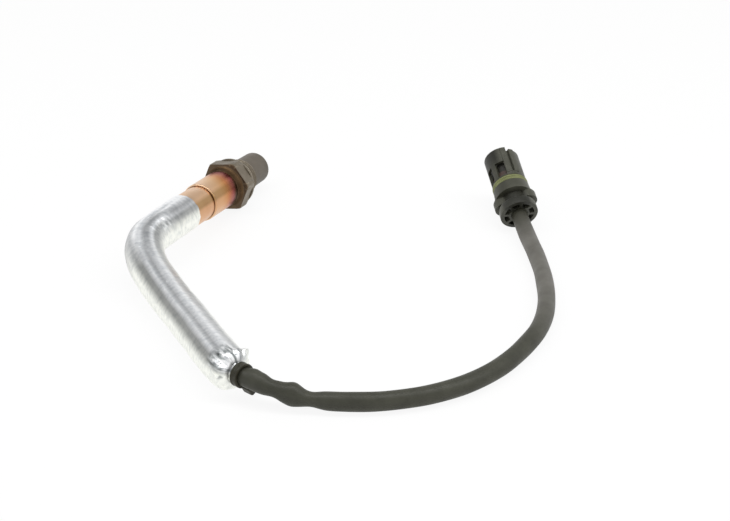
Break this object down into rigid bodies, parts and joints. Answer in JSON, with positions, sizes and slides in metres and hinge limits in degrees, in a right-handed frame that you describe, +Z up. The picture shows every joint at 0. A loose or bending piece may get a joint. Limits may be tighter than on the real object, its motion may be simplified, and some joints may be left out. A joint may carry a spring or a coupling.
{
  "type": "oxygen sensor",
  "caption": "Heated exhaust oxygen sensor: hexagon shell with gasket and capped nose, metal sleeves, foil heat sleeve gathered under a tie, jacketed cable and a round sealed plug.",
  "frame": {"origin": "centre of the base of the box round the sensor, heat sleeve and tie, on the surface the part lies on", "axes": "+Y from the gathered end of the heat sleeve towards the sensor's nose, +X towards the plug, +Z up"},
  "size_m": [0.1862, 0.207, 0.0297],
  "materials": {
    "shell_steel": "heat-darkened brown oxide on turned and milled steel",
    "gasket_metal": "dull folded steel ring",
    "bush_material": "fired ceramic and pressed powder, matte off-white",
    "element_material": "fired ceramic strip",
    "tube_steel": "drawn stainless steel",
    "cap_plastic": "dark warm grey moulded plastic",
    "tinted_steel": "stainless steel with peach and copper heat tint",
    "contact_metal": "plated spring bronze",
    "seal_rubber": "dark rubber",
    "wire_insulation": "smooth wire insulation",
    "sleeve_foil": "crinkled aluminised foil on glass cloth",
    "tie_plastic": "black nylon",
    "cable_jacket": "dark grey satin jacket",
    "housing_plastic": "dark grey glass-filled nylon, faintly glossy",
    "ring_rubber": "olive yellow silicone",
    "carrier_plastic": "dark grey moulded plastic",
    "lock_plastic": "grey moulded plastic"
  },
  "bodies": {
    "root": {"sensor_shell": "shell_steel", "gasket_ring": "gasket_metal", "front_bush": "bush_material", "powder_seal": "bush_material", "rear_bush": "bush_material", "sensor_element": "element_material", "inner_tube": "tube_steel", "outer_tube": "tube_steel", "protective_cap": "cap_plastic", "front_sleeve": "tinted_steel", "rear_sleeve": "tinted_steel", "contact_holder": "bush_material", "contact_springs": "contact_metal", "grommet": "seal_rubber", "lead_wires": "wire_insulation", "heat_sleeve": "sleeve_foil", "cable_tie": "tie_plastic", "cable": "cable_jacket", "connector_housing": "housing_plastic", "ring_seal": "ring_rubber", "rear_cap": "housing_plastic", "wire_seal": "seal_rubber", "contact_carrier": "carrier_plastic", "secondary_lock": "lock_plastic", "contact_pins": "contact_metal"}
  },
  "joints": []
}
